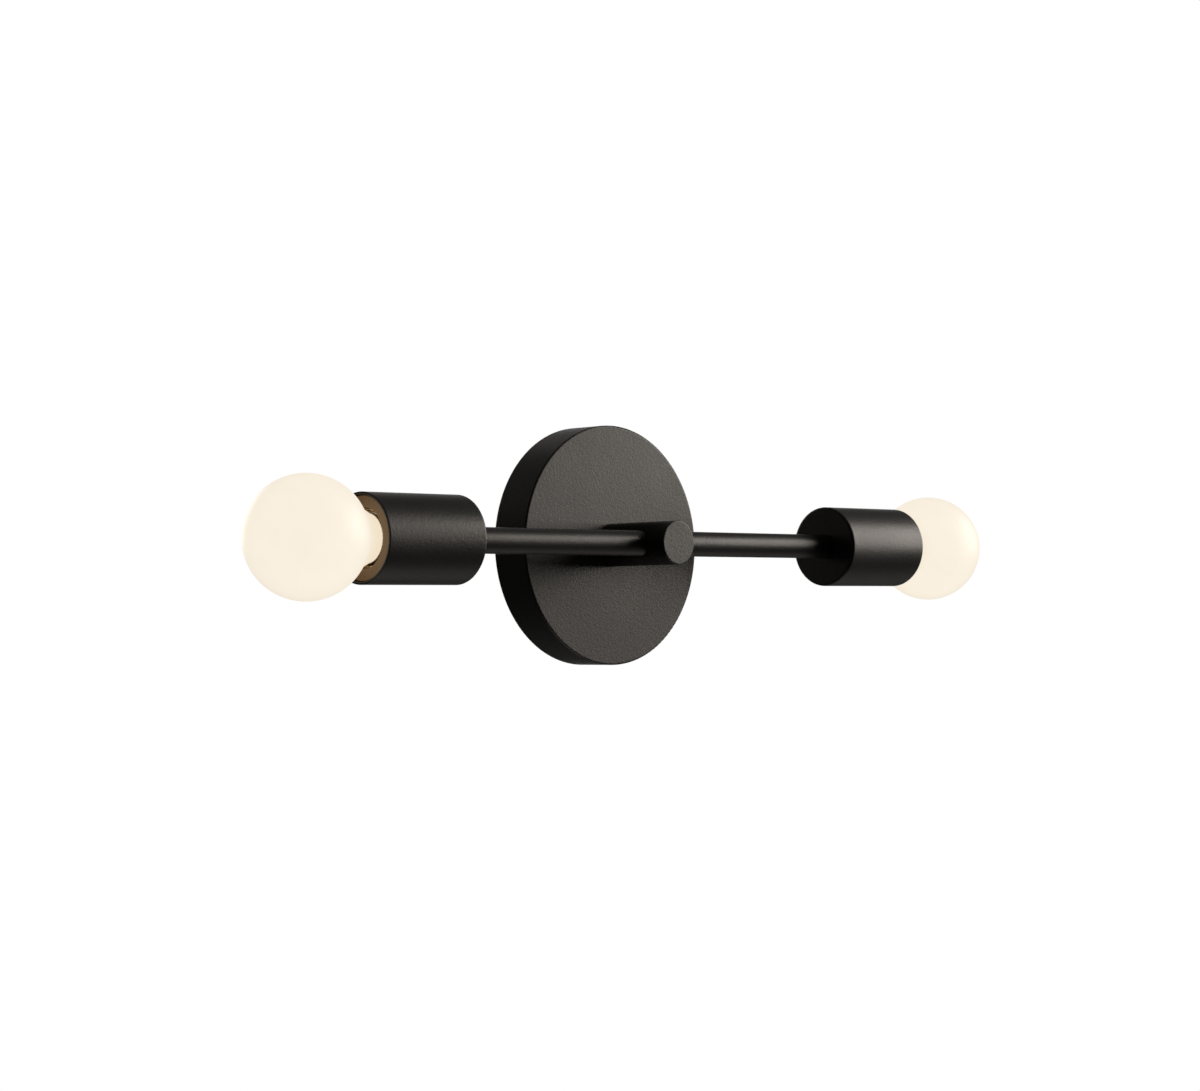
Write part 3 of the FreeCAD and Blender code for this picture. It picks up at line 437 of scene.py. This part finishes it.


# %% [markdown]
# Black powder coat: sprayed powder melts into a satin film with a fine pebbled skin, and it rounds every
# edge it runs over. It is nearly neutral and a hair warm. Its colour is a little lighter over an edge,
# partly where the coat is thin and partly as a painted highlight where the edge catches the light.
# Its tone in the photograph comes mostly from what it mirrors, so the colour itself is close to black and
# the roughness, uneven by grain and patch, does the rest.

# %% Finish: black powder coat


def black_coat():
    paint_black = (0.0098, 0.0087, 0.0074, 1.0)
    # lighter edge colour: partly a thin coat, partly a painted highlight along the edge
    thin_coat_highlight_grey = (0.055, 0.052, 0.050, 1.0)
    lint_grey = (0.16, 0.155, 0.145, 1.0)
    warm_sheen = (1.0, 0.94, 0.87, 1.0)
    edge_lightening = 0.12
    pebble_depth = 0.04 * MM

    tree, shader = new_finish("black_coat")
    skin = use_group(tree, speckle, Colour=paint_black, Colour_Spread=0.6, Grain=0.8 * MM, Patch=30 * MM,
                     Roughness=0.43, Roughness_Spread=0.14)
    edges = use_group(tree, edge_wear_and_highlight, Width=0.9 * MM, Breakup=3 * MM)
    lint = use_group(tree, dust, Amount=0.06, Patch=9 * MM)
    # painted highlight: the edge mask lightens the colour, partly for the thin coat and partly for light
    # catching the edge
    lighter_edge = calculate(tree, "MULTIPLY", edges["Mask"], edge_lightening)
    coat_with_lit_edges = blend_colour(tree, lighter_edge, skin["Colour"], thin_coat_highlight_grey)
    feed(tree, shader.inputs["Base Color"], blend_colour(tree, lint["Mask"], coat_with_lit_edges, lint_grey))
    feed(tree, shader.inputs["Roughness"], skin["Roughness"])
    set_sockets(shader, Specular_IOR_Level=0.5, Specular_Tint=warm_sheen)
    bump(tree, shader, skin["Height"], pebble_depth, edges["Normal"])


black_coat()

# %% [markdown]
# Opal glass: a bulb's cream-white glass scatters the light of its filaments so evenly that it looks like
# one glowing skin. Real scattering would need many light paths and still come out grainy, so the glow is
# an emission. It is a touch dimmer at the silhouette, where one looks through more glass, and cloudy by a
# percent or two, as blown glass is. The neck has no filament behind it, so its light is deeper cream the
# nearer it comes to the socket. Both bulbs share the finish: the distance from the middle of the wall
# light, whichever side, tells where along its bulb a point is.

# %% Finish: opal glass


def opal_glass():
    unlit_glass = (0.050, 0.047, 0.042, 1.0)
    globe_cream = (0.945, 0.868, 0.735, 1.0)
    neck_cream = (0.88, 0.755, 0.575, 1.0)
    silhouette_cream = (0.76, 0.66, 0.55, 1.0)
    cream_starts = globe_x - 0.75 * globe_radius
    silhouette_falloff = 2.0

    tree, shader = new_finish("opal_glass")
    skin = use_group(tree, speckle, Colour=unlit_glass, Colour_Spread=0.05, Grain=6 * MM, Patch=40 * MM,
                     Roughness=0.5, Roughness_Spread=0.06)
    cloud = use_group(tree, speckle, Colour=globe_cream, Colour_Spread=0.05, Grain=9 * MM, Patch=24 * MM)
    place = add(tree, "ShaderNodeSeparateXYZ", {0: add(tree, "ShaderNodeTexCoord").outputs["Object"]})
    from_middle = calculate(tree, "ABSOLUTE", place.outputs["X"])
    near_socket = add(tree, "ShaderNodeMapRange",
                      {"Value": from_middle, "From Min": cream_starts, "From Max": cup_high.x})
    lit = blend_colour(tree, near_socket.outputs["Result"], cloud["Colour"], neck_cream)
    rim = add(tree, "ShaderNodeLayerWeight", {"Blend": 0.25}).outputs["Facing"]
    silhouette = calculate(tree, "POWER", rim, silhouette_falloff)
    feed(tree, shader.inputs["Base Color"], skin["Colour"])
    feed(tree, shader.inputs["Roughness"], skin["Roughness"])
    feed(tree, shader.inputs["Emission Color"], blend_colour(tree, silhouette, lit, silhouette_cream))
    set_sockets(shader, Emission_Strength=1.0, Specular_IOR_Level=0.3)


opal_glass()

# %% [markdown]
# Metals: zinc on the steel parts, brass for what carries current, nickel on the bulbs' caps. They differ
# in colour and polish only, so one function makes them all. A plated skin is cloudy over some millimetres,
# and its edges are rubbed brighter.

# %% Finishes of metals


def metal(name, colour, roughness):
    polish = 1.25
    rubbing = 0.6
    plating_depth = 0.004 * MM

    tree, shader = new_finish(name)
    skin = use_group(tree, speckle, Colour=(*colour, 1.0), Colour_Spread=0.25, Grain=0.4 * MM, Patch=14 * MM,
                     Roughness=roughness, Roughness_Spread=0.08)
    edges = use_group(tree, edge_wear_and_highlight, Width=0.25 * MM, Breakup=2 * MM)
    polished = [min(1.0, level * polish) for level in colour]
    rubbed = calculate(tree, "MULTIPLY", edges["Mask"], rubbing)
    feed(tree, shader.inputs["Base Color"], blend_colour(tree, rubbed, skin["Colour"], (*polished, 1.0)))
    feed(tree, shader.inputs["Roughness"], skin["Roughness"])
    set_sockets(shader, Metallic=1.0)
    bump(tree, shader, skin["Height"], plating_depth, edges["Normal"])


metal("zinc_steel", (0.60, 0.61, 0.61), roughness=0.35)
metal("green_screw", (0.05, 0.32, 0.12), roughness=0.35)
metal("tinned_copper", (0.70, 0.67, 0.62), roughness=0.3)
metal("contact_brass", (0.75, 0.55, 0.26), roughness=0.3)
metal("solder_tin", (0.62, 0.62, 0.62), roughness=0.4)
metal("nickel_cap", (0.70, 0.68, 0.64), roughness=0.28)

# %% [markdown]
# Plastics: the leads' insulation, the twist-on connectors, the sockets' brown phenolic, the glass bead of
# the bulb's cap, the filaments' coating and the circuit board all come out of a mould or a coating bath,
# and have a faint, even grain from it.

# %% Finishes of plastics


def plastic(name, colour, roughness):
    grain_depth = 0.006 * MM

    tree, shader = new_finish(name)
    skin = use_group(tree, speckle, Colour=(*colour, 1.0), Colour_Spread=0.2, Grain=0.5 * MM, Patch=18 * MM,
                     Roughness=roughness, Roughness_Spread=0.1)
    feed(tree, shader.inputs["Base Color"], skin["Colour"])
    feed(tree, shader.inputs["Roughness"], skin["Roughness"])
    bump(tree, shader, skin["Height"], grain_depth)


plastic("green_insulation", (0.03, 0.24, 0.07), roughness=0.45)
plastic("black_insulation", (0.02, 0.02, 0.02), roughness=0.45)
plastic("white_insulation", (0.78, 0.77, 0.72), roughness=0.45)
plastic("connector_plastic", (0.78, 0.55, 0.08), roughness=0.4)
plastic("socket_phenolic", (0.185, 0.108, 0.044), roughness=0.45)
plastic("black_glass", (0.02, 0.02, 0.022), roughness=0.15)
plastic("filament_phosphor", (0.90, 0.62, 0.12), roughness=0.5)
plastic("circuit_board", (0.04, 0.22, 0.10), roughness=0.35)

# %% [markdown]
# Clear glass: the foot and rod that hold the filaments let light through. Glass looks wrong if its
# transmission varies, so that is one plain value, and only its tint and roughness are uneven.

# %% Finish: clear glass


def clear_glass():
    faint_green = (0.93, 0.96, 0.95, 1.0)

    tree, shader = new_finish("clear_glass")
    skin = use_group(tree, speckle, Colour=faint_green, Colour_Spread=0.03, Grain=2 * MM, Patch=9 * MM,
                     Roughness=0.04, Roughness_Spread=0.04)
    feed(tree, shader.inputs["Base Color"], skin["Colour"])
    feed(tree, shader.inputs["Roughness"], skin["Roughness"])
    set_sockets(shader, Transmission_Weight=1.0, IOR=1.5)


clear_glass()

# %% [markdown]
# ## Dressing the construction
#
# The record names a material slot for every piece of the construction. Each piece gets the finish of that
# name, and its mesh stays as it came.

# %% Give every piece its finish
for part in frame["record"]["subparts"]:
    mesh = frame["nodes"][part["node"]].data
    mesh.materials.clear()
    mesh.materials.append(finishes[part["material_slot"]])

# %% [markdown]
# ## Turned pieces
#
# Cups, bulb glass and threaded pipes are turned on a lathe, or as good as. A Screw modifier would spin an
# outline too, but it can't cut a thread, so one Geometry Nodes tree makes them all. The modifier's own
# object is the outline: a poly curve whose X is the place along the axis and whose Y is the radius. A
# point's radius attribute rounds its corner, and its tilt marks the stretch that carries a thread. The
# tree rounds the corners, divides the threaded stretch, lays a grid with a row for each point of the
# outline and winds that grid into rings.
#
# Every shape tree ends alike. Doubles are welded where the rings close, a face's edges are smooth unless
# they bend sharply, and Realize Instances and Set Material leave a plain mesh with its finish.

# %% Start and end of a shape tree


def new_shape_tree(name, inputs):
    """An empty modifier tree with named inputs (kind, default). A default of None keeps Blender's own."""
    tree = bpy.data.node_groups.new(name, "GeometryNodeTree")
    tree.is_modifier = True
    tree.interface.new_socket("Geometry", in_out="INPUT", socket_type="NodeSocketGeometry")
    for label, (kind, default) in inputs.items():
        socket = tree.interface.new_socket(label, in_out="INPUT", socket_type=kind)
        if default is not None:
            socket.default_value = default
    tree.interface.new_socket("Geometry", in_out="OUTPUT", socket_type="NodeSocketGeometry")
    return tree, add(tree, "NodeGroupInput").outputs, add(tree, "NodeGroupOutput").inputs


def finish_shape(tree, geometry, given):
    """Welds a mesh, shades it smooth with sharp creases, places it and gives it its finish."""
    weld_distance = 0.001 * MM
    welded = add(tree, "GeometryNodeMergeByDistance", {"Geometry": geometry, "Distance": weld_distance})
    faces = add(tree, "GeometryNodeInputMeshEdgeNeighbors").outputs["Face Count"]
    loose = calculate(tree, "LESS_THAN", faces, 1.0)
    whole = add(tree, "GeometryNodeDeleteGeometry",
                {"Geometry": welded.outputs["Geometry"], "Selection": loose}, domain="EDGE")
    smooth = add(tree, "GeometryNodeSetShadeSmooth",
                 {"Geometry": whole.outputs["Geometry"], "Shade Smooth": True}, domain="FACE")
    bend = add(tree, "GeometryNodeInputMeshEdgeAngle").outputs["Unsigned Angle"]
    sharp = calculate(tree, "GREATER_THAN", bend, given["Sharp Angle"])
    creased = add(tree, "GeometryNodeSetShadeSmooth",
                  {"Geometry": smooth.outputs["Geometry"], "Selection": sharp, "Shade Smooth": False},
                  domain="EDGE")
    placed = add(tree, "GeometryNodeTransform",
                 {"Geometry": creased.outputs["Geometry"], "Translation": given["Place"],
                  "Rotation": given["Turn"]})
    real = add(tree, "GeometryNodeRealizeInstances", {"Geometry": placed.outputs["Geometry"]})
    coated = add(tree, "GeometryNodeSetMaterial",
                 {"Geometry": real.outputs["Geometry"], "Material": given["Finish"]})
    return coated.outputs["Geometry"]


# %% Tree: the outline with its rounded corners and divided thread
turned, given, result = new_shape_tree("turned_piece", {
    "Steps": ("NodeSocketInt", 96), "Corner Points": ("NodeSocketInt", 6),
    "Thread Crest": ("NodeSocketFloat", 0.0), "Thread Height": ("NodeSocketFloat", 0.0),
    "Thread Pitch": ("NodeSocketFloat", 1 * MM), "Thread Cuts": ("NodeSocketInt", 0),
    "Sharp Angle": ("NodeSocketFloat", math.radians(30)), "Place": ("NodeSocketVector", (0, 0, 0)),
    "Turn": ("NodeSocketRotation", None), "Finish": ("NodeSocketMaterial", None)})
rounding = add(turned, "GeometryNodeInputRadius").outputs["Radius"]
rounded = add(turned, "GeometryNodeFilletCurve",
              {"Curve": given["Geometry"], "Radius": rounding, "Count": given["Corner Points"],
               "Limit Radius": True}, mode="POLY")
tilt = add(turned, "GeometryNodeInputCurveTilt").outputs["Tilt"]
cuts = calculate(turned, "MULTIPLY", tilt, given["Thread Cuts"])
divided = add(turned, "GeometryNodeSubdivideCurve", {"Curve": rounded.outputs["Curve"], "Cuts": cuts})
profile = divided.outputs["Curve"]
print("tree:", turned.name, len(turned.nodes), "nodes so far")

# %% [markdown]
# The grid's points are numbered row by row, so a point's index tells its row and its column. The row is
# the point of the outline that it copies, and the column is how far round the axis it goes. Half a step is
# added before the division, so that rounding can't drop a point into the row before. The last column lands
# on the first, where the ends are welded.

# %% Tree: a grid, and the point of the outline that each of its points copies
half_step = 0.5

rows = add(turned, "GeometryNodeAttributeDomainSize", {"Geometry": profile}, component="CURVE")
columns = calculate(turned, "ADD", given["Steps"], 1.0)
sheet = add(turned, "GeometryNodeMeshGrid",
            {"Vertices X": rows.outputs["Point Count"], "Vertices Y": columns})
index = add(turned, "GeometryNodeInputIndex").outputs["Index"]
safe_index = calculate(turned, "ADD", index, half_step)
row = calculate(turned, "FLOOR", calculate(turned, "DIVIDE", safe_index, columns))
column = calculate(turned, "MODULO", index, columns)
turns = calculate(turned, "DIVIDE", column, given["Steps"])
angle = calculate(turned, "MULTIPLY", turns, -math.tau)
position = add(turned, "GeometryNodeInputPosition").outputs["Position"]
spot = add(turned, "GeometryNodeSampleIndex", {"Geometry": profile, "Index": row, "Value": position},
           data_type="FLOAT_VECTOR", domain="POINT")
drawn = add(turned, "ShaderNodeSeparateXYZ", {0: spot.outputs["Value"]}).outputs
print("tree:", turned.name, len(turned.nodes), "nodes so far")

# %% [markdown]
# A right-hand thread climbs one pitch while it goes round once, so a point's phase is its place in pitches
# less its angle in turns. The phase's distance to the nearest whole number goes from 0 on a crest to a
# half at the bottom of the groove. Only points that lie on the crest's radius are moved in, so the outline
# elsewhere stays as drawn.

# %% Tree: the thread, and the rings' places
half_pitch = 0.5
crest_margin = 0.01 * MM

climb = calculate(turned, "DIVIDE", drawn["X"], given["Thread Pitch"])
phase = calculate(turned, "SUBTRACT", climb, calculate(turned, "DIVIDE", angle, math.tau))
off_crest = calculate(turned, "PINGPONG", phase, half_pitch)
groove = calculate(turned, "DIVIDE", off_crest, half_pitch)
crest = calculate(turned, "SUBTRACT", given["Thread Crest"], crest_margin)
on_crest = calculate(turned, "GREATER_THAN", drawn["Y"], crest)
cut = calculate(turned, "MULTIPLY", groove, on_crest)
depth = calculate(turned, "MULTIPLY", cut, given["Thread Height"])
radius = calculate(turned, "SUBTRACT", drawn["Y"], depth)
ring_y = calculate(turned, "MULTIPLY", radius, calculate(turned, "COSINE", angle))
ring_z = calculate(turned, "MULTIPLY", radius, calculate(turned, "SINE", angle))
ring = add(turned, "ShaderNodeCombineXYZ", {0: drawn["X"], 1: ring_y, 2: ring_z})
wound = add(turned, "GeometryNodeSetPosition",
            {"Geometry": sheet.outputs["Mesh"], "Position": ring.outputs["Vector"]})
feed(turned, result["Geometry"], finish_shape(turned, wound.outputs["Geometry"], given))
print("tree:", turned.name, len(turned.nodes), "nodes")

# %% [markdown]
# An outline is written as corners, each with its place along the axis, its radius, its rounding, and 1
# where a thread starts. A flat stretch beside a rounded corner is shaded flat only if its own edge loops
# hold it, so a holding point goes in just past each rounding.

# %% Outlines
holding_gap = 0.25 * MM


def corner(along, radius, rounding=0.0, thread=0.0):
    """A corner of an outline, in the order in which outlines keep it."""
    return along, radius, rounding, thread


def outline(name, corners):
    """A poly curve through corners, with holding points beside the rounded ones."""
    points = []
    for index, (along, radius, rounding, thread) in enumerate(corners):
        here = Vector((along, radius))
        if rounding:
            back = Vector(corners[index - 1][:2]) - here
            points.append(corner(*(here + back.normalized() * (rounding + holding_gap))))
        points.append(corner(along, radius, rounding, thread))
        if rounding:
            onward = Vector(corners[index + 1][:2]) - here
            points.append(corner(*(here + onward.normalized() * (rounding + holding_gap))))
    curve = bpy.data.curves.new(name, "CURVE")
    curve.dimensions = "3D"
    line = curve.splines.new("POLY")
    line.points.add(len(points) - 1)
    for point, (along, radius, rounding, thread) in zip(line.points, points):
        point.co = (along, radius, 0.0, 1.0)
        point.radius = rounding
        point.tilt = thread
    return curve


# %% [markdown]
# A tree runs as a modifier on a carrier object that holds the outline. Its inputs are set by their
# identifiers before Blender evaluates it for the first time. The result is copied to a plain mesh and the
# carrier goes, so nothing live is left on the piece, and its place is in its mesh as the construction's
# is.

# %% How a tree is run


def grow(tree, name, source, finish, **values):
    """Runs a shape tree on an outline and returns the finished piece."""
    carrier = bpy.data.objects.new(name + "_carrier", source)
    bpy.context.scene.collection.objects.link(carrier)
    modifier = carrier.modifiers.new(tree.name, "NODES")
    modifier.node_group = tree
    sockets = {item.name: item.identifier for item in tree.interface.items_tree if item.in_out == "INPUT"}
    modifier[sockets["Finish"]] = finish
    for label, value in values.items():
        modifier[sockets[label.replace("_", " ")]] = value
    carrier.update_tag()
    depsgraph = bpy.context.evaluated_depsgraph_get()
    mesh = bpy.data.meshes.new_from_object(carrier.evaluated_get(depsgraph), depsgraph=depsgraph)
    bpy.data.objects.remove(carrier)
    mesh.name = name
    mesh.materials.clear()
    mesh.materials.append(finish)
    mesh.polygons.foreach_set("material_index", [0] * len(mesh.polygons))
    piece = bpy.data.objects.new(name, mesh)
    bpy.context.scene.collection.objects.link(piece)
    print(name, len(mesh.polygons), "faces")
    return piece


def stand_for(piece, body, node):
    """Lets a piece ride on a body in place of a node of the construction."""
    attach(piece, body)
    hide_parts(node)


# %% [markdown]
# A cup is a drawn can, closed at the tube's end. Its closed end has a small round where the sheet was
# drawn over the punch, and its mouth a smaller one, so that paint holds on it. The construction's cup has
# slightly smaller rounds. A cylinder with bevels would do for the outside, but one outline gives the
# outside, the inside and both lips at once. Left and right share it, one of them turned round.

# %% Cups
cup_wall = 1.4 * MM
cup_hole = 5.15 * MM
cup_edge = 1.1 * MM
cup_lip = 0.5 * MM
cup_inner_edge = 0.6 * MM

cup_bore = cup_radius - cup_wall
cup_floor = cup_low.x + cup_wall
cup_outline = outline("cup_outline", [
    corner(cup_low.x, cup_hole),
    corner(cup_low.x, cup_radius, rounding=cup_edge),
    corner(cup_high.x, cup_radius, rounding=cup_lip),
    corner(cup_high.x, cup_bore, rounding=cup_lip),
    corner(cup_floor, cup_bore, rounding=cup_inner_edge),
    corner(cup_floor, cup_hole),
    corner(cup_low.x, cup_hole),
])
on_arm = (0.0, arm_y, 0.0)
sides = {"right": 0.0, "left": math.pi}
for side, turn in sides.items():
    cup = grow(turned, side + "_turned_cup", cup_outline, finishes["black_coat"], Steps=144, Corner_Points=6,
               Place=on_arm, Turn=(0.0, 0.0, turn))
    stand_for(cup, "fixture", side + "_cup")

# %% [markdown]
# The bulb's glass is a ball that flows into its neck through a small hollow arc. The neck ends in a well
# rounded shoulder at the socket's mouth, which leaves a dark gap round it, and a narrower end goes on into
# the cap. The hollow arc touches the ball and the neck, and its centre follows from that: it lies as far
# out as neck and arc together, and from the ball's centre as far as ball and arc together. A sphere joined
# to a cylinder would need that joint made by hand.

# %% Bulb glass
glass = 1.0 * MM
neck_radius = 14.0 * MM
neck_blend = 2.5 * MM
neck_shoulder = cup_high.x - 0.8 * MM
shoulder_rounding = 2.3 * MM
end_radius = 11.5 * MM
arc_points = 48


def arc(centre, height, radius, start, end):
    """Points on an arc, as corners without rounding."""
    angles = [start + (end - start) * step / arc_points for step in range(arc_points + 1)]
    return [corner(centre + radius * math.cos(a), height + radius * math.sin(a)) for a in angles]


blend_height = neck_radius + neck_blend
blend_reach = math.sqrt((globe_radius + neck_blend) ** 2 - blend_height ** 2)
blend_x = globe_x - blend_reach
blend_turn = math.atan2(blend_height, blend_reach)
glass_outline = outline("glass_outline", [
    corner(globe_low.x, end_radius),
    corner(neck_shoulder, end_radius),
    corner(neck_shoulder, neck_radius, rounding=shoulder_rounding),
    *arc(blend_x, blend_height, neck_blend, -math.pi / 2, -blend_turn),
    *arc(globe_x, 0.0, globe_radius, math.pi - blend_turn, 0.0)[1:],
    *arc(globe_x, 0.0, globe_radius - glass, 0.0, math.pi - blend_turn),
    *arc(blend_x, blend_height, neck_blend + glass, -blend_turn, -math.pi / 2)[1:],
    corner(neck_shoulder + glass, neck_radius - glass),
    corner(neck_shoulder + glass, end_radius - glass),
    corner(globe_low.x, end_radius - glass),
    corner(globe_low.x, end_radius),
])
for side, turn in sides.items():
    globe = grow(turned, side + "_blown_glass", glass_outline, finishes["opal_glass"], Steps=128,
                 Corner_Points=6, Place=on_arm, Turn=(0.0, 0.0, turn))
    stand_for(globe, side + "_bulb", side + "_bulb_globe")

# %% [markdown]
# The hollow pipes that join the light are threaded from end to end. The construction leaves them plain.
# Their crests stay at its radius, and the grooves go inwards. Bump could fake a thread, but the silhouette
# would stay straight, and a real one costs few faces here.

# %% Threaded pipes
pipe_thread_pitch = 1.0 * MM
pipe_thread_height = 0.55 * MM
pipe_bore = 3.5 * MM
pipe_chamfer = 0.6 * MM
cuts_per_pitch = 8

stem_pipe_low, stem_pipe_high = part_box("stem_pipe")
pipe_radius = (stem_pipe_high.z - stem_pipe_low.z) / 2
pipe_waist = pipe_radius - pipe_chamfer


def threaded_pipe(name, start, end, place, turn):
    """A threaded pipe from start to end along +X, then turned about the upright and put in its place."""
    shape = outline(name + "_outline", [
        corner(start, pipe_bore),
        corner(start, pipe_waist),
        corner(start + pipe_chamfer, pipe_radius, thread=1.0),
        corner(end - pipe_chamfer, pipe_radius),
        corner(end, pipe_waist),
        corner(end, pipe_bore),
        corner(start, pipe_bore),
    ])
    cuts = round((end - start) / pipe_thread_pitch * cuts_per_pitch)
    return grow(turned, name, shape, finishes["zinc_steel"], Steps=48, Thread_Crest=pipe_radius,
                Thread_Height=pipe_thread_height, Thread_Pitch=pipe_thread_pitch, Thread_Cuts=cuts,
                Place=place, Turn=(0.0, 0.0, turn))


stem_rod = threaded_pipe("stem_threaded_pipe", -stem_pipe_high.y, -stem_pipe_low.y, (0.0, 0.0, 0.0),
                         -math.pi / 2)
stand_for(stem_rod, "fixture", "stem_pipe")
for kind in ("arm", "cup"):
    pipe_low, pipe_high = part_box("right_" + kind + "_pipe")
    for side, turn in sides.items():
        rod = threaded_pipe(side + "_" + kind + "_threaded_pipe", pipe_low.x, pipe_high.x, on_arm, turn)
        stand_for(rod, "fixture", side + "_" + kind + "_pipe")
